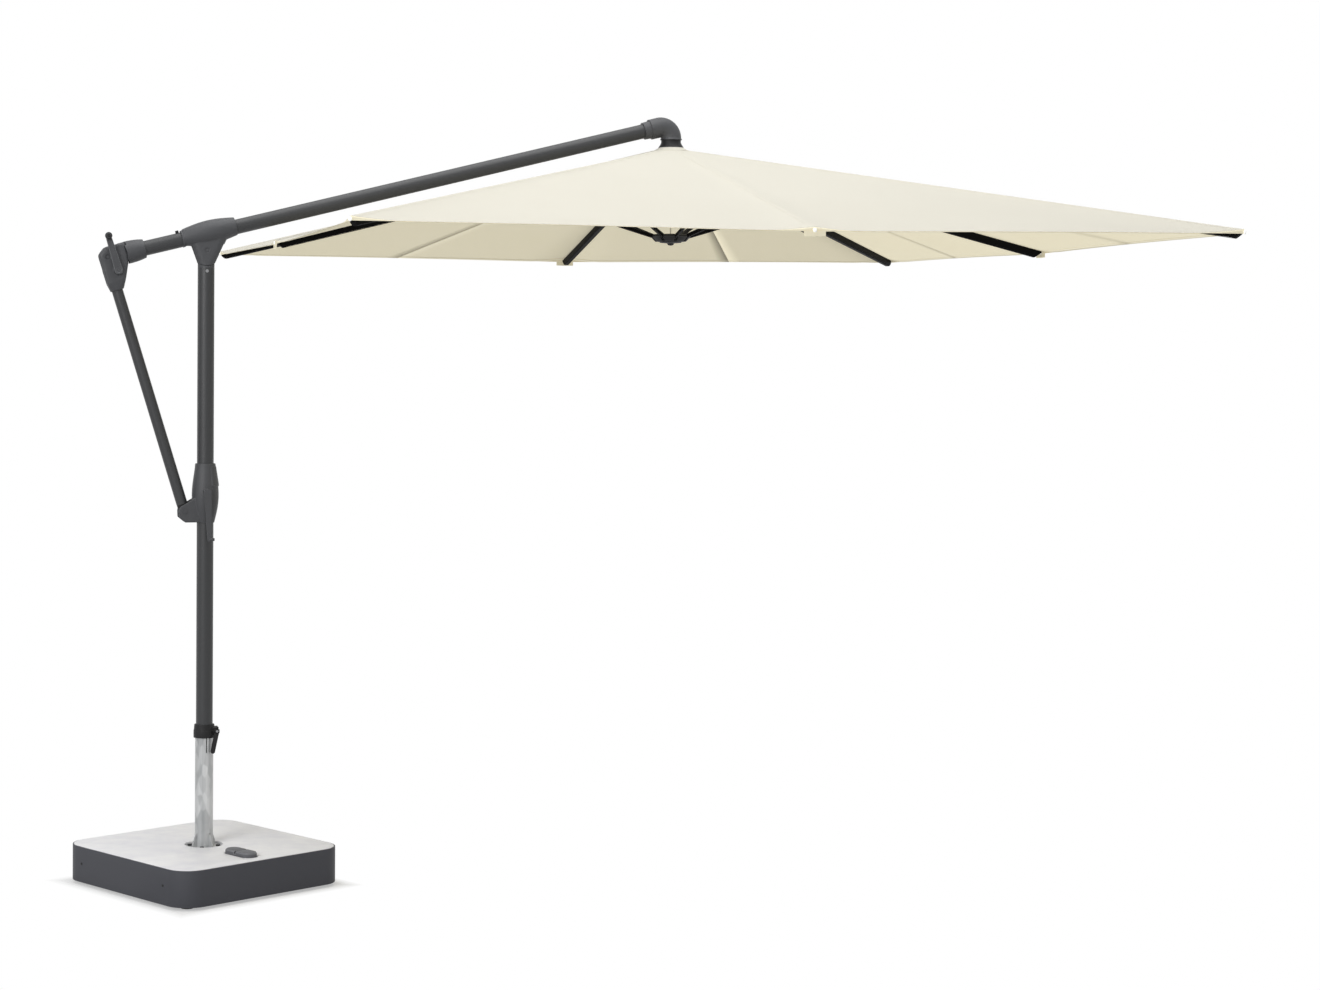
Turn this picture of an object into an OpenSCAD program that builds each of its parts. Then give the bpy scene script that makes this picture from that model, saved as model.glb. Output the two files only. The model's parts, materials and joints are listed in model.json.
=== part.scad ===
// Cantilever parasol: a square folding canopy hung from a side arm on a swivelling mast.
// Millimetres, +Z up. Origin on the floor under the mast axis, arm along +X.

/* [Canopy] */
// Side of the square canopy, tip to tip along one edge
canopy_side = 2680; // [2200:10:3000]
// Height of the cloth at the four corners
canopy_edge_z = 2088; // [2030:1:2130]
// Drop of each edge middle below the corners
mid_drop = 12; // [0:1:30]
// Inward curve of each half edge
edge_scallop = 14; // [0:1:40]
// Droop of the hem beside the rib ends
panel_droop = 13; // [0:1:20]
// Thickness of the cloth
cloth_t = 1.6; // [1:0.1:3]

/* [Ribs and stays] */
// Rib width across
rib_w = 20; // [18:1:22]
// Rib height
rib_h = 27; // [22:1:30]
// Wall of the hollow rib
rib_wall = 1.6; // [1.2:0.1:2.5]
// Slope of the ribs when the canopy hangs folded, degrees below level
fold_slope = 88; // [84:0.5:88]
// Stay bar width
stay_w = 8; // [6:0.5:9]
// Stay bar height
stay_h = 14; // [10:1:14]
// Radius on which the ribs and stays are hinged
hinge_r = 50; // [46:1:56]
// Height from the runner pivots up to the rib pivots
runner_drop = 274; // [250:1:290]

/* [Arm] */
// Distance from the mast axis to the crown axis
crown_x = 1565; // [1500:5:1700]
// Height of the arm axis where it crosses the mast axis
arm_z = 2093; // [2080:1:2110]
// Rise of the arm above level, degrees
arm_rise = 13.9; // [13:0.1:15]
// Arm tube diameter
arm_d = 48; // [46:1:52]
// Arm tube wall
arm_wall = 3; // [2:0.5:5]
// Distance from the mast axis back to the rear pivot
rear_reach = 318; // [300:1:340]
// Depth of the tilt pivot under the arm axis
tilt_drop = 53; // [52:0.5:58]

/* [Mast and slider] */
// Mast tube diameter
mast_d = 54; // [50:1:56]
// Mast tube wall
mast_wall = 3; // [2:0.5:5]
// Height of the strut pivot on the slider
slider_z = 1200; // [1100:5:1250]
// Distance of the strut pivot behind the mast axis
ear_reach = 68; // [64:1:74]
// Strut tube diameter
strut_d = 36; // [32:1:37]

/* [Base] */
// Side of the square base
base_side = 648; // [600:2:760]
// Corner radius of the base
base_r = 80; // [40:2:110]
// Height of the top plate's upper face
base_h = 125; // [115:1:150]
// Turn of the base against the arm, degrees
base_turn = 30; // [0:1:45]
// Height of the base tube's top
tube_top = 500; // [420:5:600]

/* [Fits] */
// Radial gap of large turning and sliding fits
run_gap = 0.3; // [0.3:0.05:0.5]
// Radial gap of hinge pins
pin_gap = 0.1; // [0.06:0.01:0.1]
// Gap between fixed pieces
seat_gap = 0.05; // [0.02:0.01:0.1]

/* [Hidden] */
$fn = 64;

// arm line
arm_tan = tan(arm_rise);
arm_cos = cos(arm_rise);
tilt_z = arm_z - tilt_drop;
rear_z = arm_z - rear_reach * arm_tan;
arm_r = arm_d / 2;
arm_bore = arm_r + run_gap;
sleeve_r = arm_bore + 5;
groove_r = arm_bore + 2.6;
sleeve_bulge = 10;
sleeve_lift = 3;
sleeve_from = -82;
sleeve_to = 99;
rear_s = -rear_reach / arm_cos;

// crown elbow
bend_r = 36;
bend_tube = 34;
bend_x = crown_x - bend_r;
bend_z = arm_z + bend_x * arm_tan - bend_r / arm_cos;
bend_s = (bend_x - bend_r * sin(arm_rise)) / arm_cos;
elbow_foot = bend_z - 5;
leg_r = 33.6;
leg_len = 30;
elbow_collar_r = arm_r + 4.6;
elbow_collar_len = 24;
stem_r = 22;
stem_seat = 15;
collar_h = 27;
collar_ring_r = 33;
collar_r = 42;
cloth_z = elbow_foot - collar_h;

// canopy folding geometry, in the plane of one rib
hinge_z = cloth_z - 26;
mid_r = canopy_side / 2;
corner_r = mid_r * sqrt(2);
rib_below = rib_h / 2 + cloth_t + 2.8;
stay_drop = rib_h / 2 + 9;
function is_mid(i) = i % 2 == 0;
function tip_r(i) = is_mid(i) ? mid_r : corner_r;
function tip_z(i) = canopy_edge_z - (is_mid(i) ? mid_drop : 0);
function slope(i) = atan2(hinge_z - tip_z(i) + rib_below, tip_r(i) - hinge_r);
function rib_len(i) = (tip_r(i) - hinge_r) / cos(slope(i)) - rib_short;
mid_s = (runner_drop / 2 - stay_drop * cos(slope(0))) / sin(slope(0));
fold_drop = 2 * (mid_s * sin(fold_slope) + stay_drop * cos(fold_slope));
function stay_s(i) =
    ((fold_drop * fold_drop - runner_drop * runner_drop) / 2
        - stay_drop * (fold_drop * cos(fold_slope) - runner_drop * cos(slope(i))))
    / (fold_drop * sin(fold_slope) - runner_drop * sin(slope(i)));
function stay_top(i) = [
    hinge_r + stay_s(i) * cos(slope(i)) - stay_drop * sin(slope(i)),
    hinge_z - stay_s(i) * sin(slope(i)) - stay_drop * cos(slope(i))];
runner_z = hinge_z - runner_drop;
function stay_len(i) = norm(stay_top(i) - [hinge_r, runner_z]);
function stay_slope(i) = atan2(stay_top(i)[1] - runner_z, stay_top(i)[0] - hinge_r);

// hinge details of ribs and stays
pivot_r = 3;
tongue_t = 8;
tongue_r = 9;
rib_start = 28;
rib_cut = 22;
rib_short = 2;
rib_edge = 3.5;
eye_w = 10;
eye_r = 7.4;
ear_t = 3;
ear_in = eye_w / 2 + 0.5;
hub_r = hinge_r + 14;
runner_r = hinge_r + 16;

// mast and slider
mast_r = mast_d / 2;
mast_bore = mast_r + run_gap;
mast_low = 170;
mast_top = tilt_z - 56;
head_plug = 70;
head_shoulder = 22;
head_post = 36;
head_knuckle_r = 18;
head_bolt_z = mast_top - 11;
head_bolt_r = 3;
saddle_r = tilt_drop - 2.7;
tube_r = mast_bore + 2;
strut_len = norm([rear_reach - ear_reach, rear_z - slider_z]);
strut_lean = atan2(rear_reach - ear_reach, rear_z - slider_z);
strut_r = strut_d / 2;
tilt_pin_r = 6;
fork_in = strut_r + 0.7;
fork_t = 7.5;
casing_wall = 2.2;
casing_bulge = 12.6;
casing_spread = 3.2;
ear_r = 20;
ear_drop = 36;
ear_rise = 52;
lever_z = slider_z + 62;
lever_y = -(mast_r + 27);
lever_half = 12.8;
lever_len = 150;

// strut head and its crank
head_half = 28;
head_round = 9;
head_low = 111;
head_points = [[-18, 10], [2, 25], [56, 22], [58, -8], [52, -28], [41, -45], [29, -77], [-17, -84]];
crank_down = 50;
crank_off = 19;
crank_len = 114;
crank_hub_r = 7;
crank_t = 8;
crank_boss_r = 13;
crank_tip_r = 9;
crank_y = -(head_half + 15);
spool_r = 9;
slot_half = 12.6;
tongue_half = slot_half - 0.6;
housing_from = 72;
housing_to = 123;
housing_r = 36.5;
tongue_end = 20;

// base
foot_h = 10;
skirt_lip = 3;
skirt_t = 3;
plate_t = 10;
plate_low = base_h - plate_t;
plate_side = base_side - 2 * skirt_t - 2;
tray_t = 6;
flange_r = 59;
flange_t = 6;
flange_z = base_h - 6;
bolt_ring_r = 46;
screw_z = 70;
pedal_u = -15;
pedal_v = -(base_side / 2 - 110);
pedal_len = 128;
pedal_w = 54;
pedal_split = 6;
pedal_axis_z = base_h - 20;
slit_turn = -82;

// helpers

module pin_y(r, h) {
    rotate([90, 0, 0]) cylinder(r = r, h = h, center = true);
}

module slab_y(t) {
    rotate([90, 0, 0]) linear_extrude(t, center = true) children();
}

module bar_x(len) {
    rotate([90, 0, 90]) linear_extrude(len) children();
}

module tube_x(r_out, r_in, from, to) {
    translate([from, 0, 0]) rotate([0, 90, 0]) difference() {
        cylinder(r = r_out, h = to - from);
        translate([0, 0, -1]) cylinder(r = r_in, h = to - from + 2);
    }
}

module barrel_x(from, to, r_from, r_to, bulge) {
    steps = 12;
    translate([from, 0, 0]) rotate([0, 90, 0]) rotate_extrude() polygon(concat(
        [[0, 0]],
        [for (k = [0 : steps]) let (t = k / steps)
            [r_from + (r_to - r_from) * t + bulge * sin(180 * t), (to - from) * t]],
        [[0, to - from]]));
}

module rounded_square(side, r) {
    square([side - 2 * r, side], center = true);
    square([side, side - 2 * r], center = true);
    for (x = [-1, 1], y = [-1, 1])
        translate([x * (side / 2 - r), y * (side / 2 - r)]) circle(r = r);
}

module stadium(len, w) {
    square([w, len - w], center = true);
    for (s = [-1, 1]) translate([0, s * (len - w) / 2]) circle(d = w);
}

module cut_corner_rect(w, h, c) {
    polygon([[-w / 2 + c, -h / 2], [w / 2 - c, -h / 2], [w / 2, -h / 2 + c], [w / 2, h / 2 - c],
        [w / 2 - c, h / 2], [-w / 2 + c, h / 2], [-w / 2, h / 2 - c], [-w / 2, -h / 2 + c]]);
}

module on_arm() {
    translate([0, 0, arm_z]) rotate([0, -arm_rise, 0]) children();
}

module on_strut() {
    translate([-rear_reach, 0, rear_z]) rotate([0, -strut_lean, 0]) children();
}

module on_crank() {
    on_strut() translate([crank_off, 0, -crank_down]) children();
}

module on_base() {
    rotate([0, 0, base_turn]) children();
}

module at_pedal() {
    on_base() translate([pedal_u, pedal_v, 0]) children();
}

module on_crown() {
    translate([crown_x, 0, 0]) children();
}

module on_rib(i) {
    on_crown() rotate([0, 0, 45 * i]) translate([hinge_r, 0, hinge_z])
        rotate([0, slope(i), 0]) children();
}

// base

module base_skirt() {
    color("dimgray") on_base() difference() {
        translate([0, 0, foot_h]) linear_extrude(base_h - 1 - foot_h) rounded_square(base_side, base_r);
        translate([0, 0, foot_h + skirt_lip]) linear_extrude(base_h)
            rounded_square(base_side - 2 * skirt_t, base_r - skirt_t);
        linear_extrude(base_h)
            rounded_square(base_side - 2 * skirt_t - 50, base_r - skirt_t - 25);
    }
}

module base_tray() {
    color("gray") on_base() translate([0, 0, foot_h + skirt_lip]) linear_extrude(tray_t)
        rounded_square(base_side - 2 * skirt_t - 1, base_r - skirt_t - 0.5);
}

module base_feet() {
    foot_at = base_side / 2 - 62;
    color("black") on_base() {
        for (x = [-1, 1], y = [-1, 1]) translate([x * foot_at, y * foot_at, 0]) {
            cylinder(r1 = 20, r2 = 22, h = foot_h + skirt_lip);
        }
        cylinder(r1 = 50, r2 = 52, h = foot_h + skirt_lip);
    }
}

module ballast_slabs() {
    inner = base_side - 2 * skirt_t - 8;
    low = foot_h + skirt_lip + tray_t;
    color("silver") on_base() for (x = [-1, 1], y = [-1, 1]) difference() {
        translate([0, 0, low]) linear_extrude(plate_low - low) intersection() {
            rounded_square(inner, base_r - skirt_t - 4);
            translate([x * inner / 4, y * inner / 4]) square(inner / 2 - 4, center = true);
        }
        translate([0, 0, low - 1]) cylinder(r = flange_r + 6, h = base_h);
        translate([pedal_u, pedal_v, plate_low - 42]) linear_extrude(base_h)
            stadium(pedal_len + 18, pedal_w + 18);
    }
}

module top_plate() {
    color("gainsboro") on_base() difference() {
        translate([0, 0, plate_low]) linear_extrude(plate_t)
            rounded_square(plate_side, base_r - skirt_t - 1);
        translate([0, 0, plate_low - 1]) cylinder(r = flange_r + 3, h = plate_t + 2);
        translate([pedal_u, pedal_v, plate_low - 1]) linear_extrude(plate_t + 2)
            stadium(pedal_len + 6, pedal_w + 6);
    }
}

module skirt_screws() {
    off = base_side / 2 - 105;
    color("black") on_base() for (a = [0, 180], s = [-1, 1])
        rotate([0, 0, a]) translate([base_side / 2, s * off, screw_z]) rotate([0, 90, 0])
            cylinder(r = 4, h = 1.2);
}

module tube_pedestal() {
    low = foot_h + skirt_lip + tray_t;
    color("gray") difference() {
        translate([0, 0, low]) cylinder(r = flange_r + 3, h = flange_z - flange_t - low);
        translate([0, 0, low + 8]) cylinder(r = mast_r + 12, h = base_h);
        bolt_ring() translate([0, 0, flange_z - 40]) cylinder(r = 4 + seat_gap, h = 80);
    }
}

module bolt_ring() {
    for (a = [45 : 90 : 315]) rotate([0, 0, a + base_turn]) translate([bolt_ring_r, 0, 0]) children();
}

module base_tube() {
    color("lightgray") difference() {
        union() {
            translate([0, 0, flange_z - flange_t]) cylinder(r = tube_r, h = tube_top - flange_z + flange_t);
            translate([0, 0, flange_z - flange_t]) cylinder(r = flange_r, h = flange_t);
            for (a = [0 : 90 : 270]) rotate([0, 0, a + base_turn + 90]) slab_y(5)
                polygon([[tube_r - 1.5, flange_z - 1], [tube_r + 17, flange_z - 1],
                    [tube_r + 17, flange_z + 6], [tube_r - 1.5, flange_z + 52]]);
        }
        translate([0, 0, flange_z - 10]) cylinder(r = mast_bore, h = tube_top);
        rotate([0, 0, slit_turn]) translate([mast_bore - 2, -1.8, tube_top - 78])
            cube([8, 3.6, 100]);
        rotate([0, 0, -58]) translate([0, 0, 161]) rotate([0, 90, 0]) cylinder(r = 3, h = tube_r + 5);
        bolt_ring() translate([0, 0, flange_z - 20]) cylinder(r = 4 + seat_gap, h = 40);
    }
}

module flange_bolts() {
    color("dimgray") bolt_ring() {
        translate([0, 0, flange_z - 36]) cylinder(r = 4, h = 38);
        translate([0, 0, flange_z]) cylinder(r = 7.4, h = 5.5, $fn = 6);
    }
}

module clamp_collar() {
    low = tube_top - 30;
    color("black") difference() {
        union() {
            translate([0, 0, low]) cylinder(r = tube_r + 5.5, h = 23);
            translate([0, 0, low + 23]) cylinder(r1 = tube_r + 4.5, r2 = tube_r + 3, h = 18.5);
            translate([20, -24, low + 8]) cube([tube_r - 20 + 14, 34, 26]);
        }
        translate([0, 0, low - 1]) cylinder(r = tube_r + seat_gap, h = 31);
        translate([0, 0, low]) cylinder(r = mast_bore, h = 60);
        translate([20, -9, low - 1]) cube([tube_r, 4, 60]);
        translate([clamp_x(), -10, clamp_z()]) pin_y(4 + seat_gap, 60);
        translate([clamp_x(), 20, clamp_z()]) pin_y(7.2, 20);
    }
}

function clamp_x() = tube_r + 8;
function clamp_z() = tube_top - 8;

module clamp_bolt() {
    color("silver") {
        translate([clamp_x(), -9.75, clamp_z()]) pin_y(4, 51.5);
        translate([clamp_x(), 13, clamp_z()]) pin_y(6.5, 6);
        translate([clamp_x(), -31, clamp_z()]) rotate([0, 90, 0]) cylinder(r = 3, h = 15, center = true);
    }
}

module clamp_lever() {
    color("black") translate([clamp_x(), -31, clamp_z()]) difference() {
        union() {
            rotate([0, 90, 0]) cylinder(r = 6.4, h = 15, center = true);
            rotate([0, 12, 0]) translate([0, -1, -33]) cube([14, 7, 66], center = true);
            rotate([0, 12, 0]) translate([0, -1, -66]) rotate([90, 0, 0])
                cylinder(r = 7, h = 7, center = true);
        }
        rotate([0, 90, 0]) cylinder(r = 3 + pin_gap, h = 40, center = true);
        translate([0, 8, 7.2]) cube([8.8, 30, 28], center = true);
    }
}

module pedal_box() {
    low = plate_low - 40;
    color("dimgray") at_pedal() difference() {
        translate([0, 0, low]) linear_extrude(40) stadium(pedal_len + 16, pedal_w + 16);
        translate([0, 0, low + 4]) linear_extrude(60) stadium(pedal_len + 7, pedal_w + 7);
        translate([0, 0, pedal_axis_z]) rotate([0, 90, 0])
            cylinder(r = 4 + seat_gap, h = 100, center = true);
    }
}

module pedal_pin() {
    color("silver") at_pedal() translate([0, 0, pedal_axis_z]) rotate([0, 90, 0])
        cylinder(r = 4, h = pedal_w + 15, center = true);
}

module pedal() {
    color("dimgray") at_pedal() difference() {
        union() {
            translate([0, 0, base_h - 7]) linear_extrude(18) stadium(pedal_len, pedal_w);
            translate([0, 0, base_h + 11]) linear_extrude(3) stadium(pedal_len - 6, pedal_w - 6);
            translate([0, 0, pedal_axis_z + 8]) cube([30, 22, 16], center = true);
            translate([0, 0, pedal_axis_z]) rotate([0, 90, 0]) cylinder(r = 11, h = 30, center = true);
        }
        translate([-pedal_w, -pedal_split / 2, base_h + 3]) cube([2 * pedal_w, pedal_split, 20]);
        translate([0, 0, pedal_axis_z]) rotate([0, 90, 0])
            cylinder(r = 4 + pin_gap, h = 80, center = true);
    }
}

// mast

module mast_tube() {
    color("dimgray") difference() {
        translate([0, 0, mast_low]) cylinder(r = mast_r, h = mast_top - mast_low);
        translate([0, 0, mast_low - 1]) cylinder(r = mast_r - mast_wall, h = mast_top - mast_low + 2);
        translate([0, 0, head_bolt_z]) pin_y(head_bolt_r + seat_gap, 80);
    }
}

module mast_head() {
    color("gray") difference() {
        union() {
            difference() {
                translate([0, 0, mast_top]) cylinder(r = mast_r, h = head_shoulder);
                translate([0, 0, tilt_z]) pin_y(saddle_r + 0.5, 80);
            }
            translate([0, 0, mast_top - head_plug])
                cylinder(r = mast_r - mast_wall - seat_gap, h = head_plug + 1);
            translate([0, 0, mast_top + 1]) linear_extrude(tilt_z - mast_top - 1)
                square([head_post, 2 * tongue_half], center = true);
            translate([0, 0, tilt_z]) pin_y(head_knuckle_r, 2 * tongue_half);
        }
        translate([0, 0, tilt_z]) pin_y(tilt_pin_r + pin_gap, 80);
        translate([0, 0, head_bolt_z]) pin_y(head_bolt_r + seat_gap, 80);
    }
}

module mast_head_bolt() {
    color("silver") translate([0, 0, head_bolt_z]) {
        pin_y(head_bolt_r, mast_d + 2);
        for (s = [-1, 1]) translate([0, s * (mast_r + 1.15), 0]) pin_y(5.2, 2.2);
    }
}

// slider

// outer radius of the casing, t from its foot (0) to its top (1)
function casing_r(t) =
    mast_bore + casing_wall + casing_bulge * pow(sin(180 * pow(t, 0.85)), 1.3) + casing_spread * t;

module slider_casing() {
    low = slider_z - 38;
    tall = 191;
    steps = 12;
    cover_low = slider_z + 81;
    cover_tall = 62;
    color("dimgray") difference() {
        union() {
            rotate_extrude() polygon(concat(
                [[5, low]],
                [for (k = [0 : steps]) [casing_r(k / steps), low + tall * k / steps]],
                [[5, low + tall]]));
            for (s = [-1, 1]) translate([0, s * (fork_in + fork_t / 2), 0]) slab_y(fork_t) {
                translate([-ear_reach, slider_z]) circle(r = ear_r);
                polygon([[-ear_reach - 8, slider_z + ear_r - 1.7], [-20, slider_z + ear_rise],
                    [0, slider_z + ear_rise], [0, slider_z - ear_drop], [-ear_reach + 1, slider_z - ear_drop],
                    [-ear_reach - ear_r + 1, slider_z - ear_r + 1], [-ear_reach - ear_r, slider_z]]);
            }
            rotate([0, 0, -65]) rotate_extrude(angle = 130) polygon(concat(
                [[mast_bore + 1, cover_low]],
                [for (k = [0 : 5]) let (z = cover_low + cover_tall * k / 5)
                    [casing_r((z - low) / tall) + 2.6 - 1.2 * k / 5, z]],
                [[mast_bore + 1, cover_low + cover_tall]]));
            translate([0, lever_y / 2, lever_z]) cube([10, -lever_y, 16], center = true);
            translate([0, lever_y, lever_z]) rotate([0, 90, 0]) cylinder(r = 8, h = 10, center = true);
        }
        translate([0, 0, low - 1]) cylinder(r = mast_bore, h = tall + 2);
        translate([-ear_reach, 0, slider_z]) pin_y(4 + seat_gap, 80);
        translate([-ear_reach, 0, slider_z + 30]) rotate([0, -strut_lean, 0])
            cylinder(r = strut_r + 0.7, h = 160, center = true);
        translate([0, lever_y, lever_z]) rotate([0, 90, 0]) cylinder(r = 3 + seat_gap, h = 40, center = true);
    }
}

module strut_pin() {
    color("silver") translate([-ear_reach, 0, slider_z]) {
        pin_y(4, 2 * (fork_in + fork_t) + 2);
        for (s = [-1, 1]) translate([0, s * (fork_in + fork_t + 1.35), 0]) pin_y(7, 2.6);
    }
}

module lever_pin() {
    color("silver") translate([0, lever_y, lever_z]) rotate([0, 90, 0])
        cylinder(r = 3, h = 26, center = true);
}

module lock_lever() {
    color("black") translate([0, lever_y, lever_z]) difference() {
        union() {
            for (s = [-1, 1]) translate([s * 9.2, 0, 0]) rotate([0, 90, 0])
                cylinder(r = 8.5, h = 7.2, center = true);
            translate([-lever_half, -12, -14]) cube([2 * lever_half, 12, 16]);
            translate([0, -3, 0]) rotate([90, 0, 0]) cylinder(r = lever_half, h = 9);
            translate([0, -5, 0]) rotate([90, 0, 0]) linear_extrude(7)
                polygon([[-lever_half, 0], [lever_half, 0], [14, -lever_len], [0, -lever_len]]);
            translate([7, -5, -lever_len]) rotate([90, 0, 0]) cylinder(r = 7, h = 7);
            translate([7, -14, -lever_len]) rotate([0, 90, 0]) cylinder(r = 5, h = 15);
        }
        translate([0, 0.5, 0]) cube([11, 18, 60], center = true);
        rotate([0, 90, 0]) cylinder(r = 3 + pin_gap, h = 60, center = true);
    }
}

// tilting carrier

module tee_housing() {
    slot_roof = tilt_z + 20;
    color("dimgray") difference() {
        union() {
            on_arm() translate([0, 0, sleeve_lift])
                barrel_x(sleeve_from + 8, sleeve_to, sleeve_r, sleeve_r, sleeve_bulge);
            on_arm() tube_x(groove_r, arm_r - 5, sleeve_from + 2, sleeve_from + 20);
            on_arm() tube_x(sleeve_r, arm_r - 5, sleeve_from, sleeve_from + 6.5);
            hull() {
                translate([0, 0, tilt_z - saddle_r - 1]) cylinder(r = mast_r, h = 1, $fn = 48);
                translate([-30, 0, arm_z - 22]) cylinder(r = mast_r, h = 1, $fn = 48);
                translate([46, 0, arm_z - 2]) cylinder(r = mast_r, h = 1, $fn = 48);
            }
        }
        on_arm() translate([-150, 0, 0]) rotate([0, 90, 0]) cylinder(r = arm_bore, h = 320);
        translate([-100, -slot_half, tilt_z - 80]) cube([200, 2 * slot_half, slot_roof - tilt_z + 80]);
        translate([0, 0, tilt_z]) pin_y(tilt_pin_r + seat_gap, 120);
        difference() {
            translate([-60, -60, tilt_z - 90]) cube([120, 120, 56]);
            translate([0, 0, tilt_z]) pin_y(saddle_r, 140);
        }
    }
}

module tilt_pin() {
    color("silver") translate([0, 0, tilt_z]) pin_y(tilt_pin_r, 2 * mast_r);
}

module rear_housing() {
    color("dimgray") on_arm() translate([rear_s, 0, 0]) difference() {
        union() {
            barrel_x(housing_from, housing_to, housing_r, arm_bore + 6, 1.5);
            slab_y(2 * tongue_half) {
                circle(r = tongue_end);
                polygon([[0, -tongue_end], [housing_from + 2, -tongue_end - 4],
                    [housing_from + 2, housing_r - 0.5], [40, housing_r - 1.5], [0, tongue_end]]);
            }
        }
        translate([housing_from + 6, 0, 0]) rotate([0, 90, 0]) cylinder(r = arm_bore, h = 80);
        pin_y(tilt_pin_r + pin_gap, 100);
    }
}

// strut and crank

module strut_tube() {
    color("dimgray") on_strut() translate([0, 0, -(strut_len - 24)]) difference() {
        cylinder(r = strut_r, h = strut_len - 24 - (head_low - 21));
        translate([0, 0, -1]) cylinder(r = strut_r - 2, h = strut_len);
    }
}

module strut_head() {
    color("dimgray") on_strut() difference() {
        union() {
            hull() {
                for (y = [-1, 1], p = head_points)
                    translate([p[0], y * (head_half - head_round), p[1]])
                        sphere(r = head_round, $fn = 24);
                translate([0, 0, -head_low]) cylinder(r = strut_r + 4, h = 1, $fn = 48);
            }
            translate([crank_off, crank_y + crank_t / 2 + 1, -crank_down]) rotate([-90, 0, 0])
                cylinder(r = 14, h = 18);
        }
        translate([-60, -slot_half, -82]) cube([140, 2 * slot_half, 140]);
        translate([0, 0, -head_low - 1]) cylinder(r = strut_r + seat_gap, h = 22);
        pin_y(tilt_pin_r + seat_gap, 100);
        translate([crank_off, 0, -crank_down]) pin_y(crank_hub_r + pin_gap, 120);
    }
}

module strut_foot() {
    color("black") on_strut() translate([0, 0, -strut_len]) difference() {
        union() {
            pin_y(strut_r - 0.5, 2 * strut_r - 1);
            cylinder(r = strut_r - 0.5, h = 24);
            cylinder(r = strut_r - 2 - seat_gap, h = 50);
        }
        pin_y(10.5, 100);
    }
}

module rear_pin() {
    color("silver") on_strut() pin_y(tilt_pin_r, 2 * head_half);
}

module crank_shaft() {
    color("silver") on_crank() {
        translate([0, crank_y - crank_t / 2 + 1, 0]) rotate([-90, 0, 0])
            cylinder(r = crank_hub_r, h = 2 * head_half + 24);
        pin_y(spool_r, 2 * slot_half - 2);
    }
}

module crank_arm() {
    color("black") on_crank() translate([0, crank_y, 0]) difference() {
        slab_y(crank_t) {
            circle(r = crank_boss_r);
            polygon([[-crank_boss_r, 0], [crank_boss_r, 0], [crank_tip_r, crank_len],
                [-crank_tip_r, crank_len]]);
            translate([0, crank_len]) circle(r = crank_tip_r);
        }
        pin_y(crank_hub_r + seat_gap, 30);
        translate([0, 0, crank_len]) pin_y(4 + seat_gap, 30);
    }
}

module crank_knob() {
    color("black") on_crank() translate([0, crank_y - crank_t / 2, crank_len]) rotate([90, 0, 0])
        rotate_extrude() polygon([[0, -8], [4, -8], [4, 0], [8, 0.3], [10.5, 3], [11.5, 9], [11.5, 15],
            [10.2, 20], [7, 22.5], [0, 23]]);
}

// arm and crown

module arm_tube() {
    from = rear_s + housing_from + 8;
    color("dimgray") on_arm() tube_x(arm_r, arm_r - arm_wall, from, bend_s - 4.2);
}

module roll_stop() {
    color("black") on_arm() difference() {
        translate([-96, -5, arm_r - 4]) cube([10, 10, 12]);
        translate([-120, 0, 0]) rotate([0, 90, 0]) cylinder(r = arm_r + seat_gap, h = 60);
    }
}

module crown_elbow() {
    color("dimgray") difference() {
        union() {
            translate([bend_x, 0, bend_z]) rotate([90, 0, 0])
                rotate_extrude(angle = 90 + arm_rise) translate([bend_r, 0]) circle(r = bend_tube);
            on_crown() translate([0, 0, elbow_foot])
                cylinder(r1 = bend_tube + 3, r2 = bend_tube - 0.2, h = bend_z - elbow_foot + 1);
            on_arm() translate([bend_s - leg_len, 0, 0]) rotate([0, 90, 0])
                cylinder(r1 = leg_r, r2 = bend_tube - 0.2, h = leg_len + 1);
            on_arm() translate([bend_s - leg_len - elbow_collar_len, 0, 0]) rotate([0, 90, 0])
                cylinder(r1 = elbow_collar_r, r2 = elbow_collar_r + 0.8, h = elbow_collar_len + 1);
        }
        on_arm() translate([bend_s - 60, 0, 0]) rotate([0, 90, 0]) cylinder(r = arm_r + seat_gap, h = 56);
        on_crown() translate([0, 0, elbow_foot - 1]) cylinder(r = stem_r + seat_gap, h = stem_seat + 2);
    }
}

module crown_hub() {
    stem_top = elbow_foot - hinge_z + stem_seat;
    color("black") on_crown() difference() {
        translate([0, 0, hinge_z]) rotate_extrude() polygon([[5, -17], [34, -17], [hub_r, -12],
            [hub_r, 5], [46, 11], [stem_r, 11], [stem_r, stem_top], [5, stem_top]]);
        for (i = [0 : 7]) rotate([0, 0, 45 * i]) {
            translate([hinge_r - tongue_r - 5, -tongue_t / 2 - 0.3, hinge_z - 40])
                cube([40, tongue_t + 0.6, 80]);
            translate([hinge_r, 0, hinge_z]) pin_y(pivot_r + seat_gap, 22);
        }
    }
}

module rib_pins() {
    color("silver") on_crown() for (i = [0 : 7]) rotate([0, 0, 45 * i])
        translate([hinge_r, 0, hinge_z]) pin_y(pivot_r, 21);
}

module neck_collar() {
    color("black") on_crown() translate([0, 0, cloth_z]) rotate_extrude() polygon([
        [stem_r + seat_gap, 0], [collar_r, 0], [collar_r, 2], [37, 9], [34, 15],
        [collar_ring_r, 17], [collar_ring_r, collar_h], [stem_r + seat_gap, collar_h]]);
}

// canopy

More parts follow.
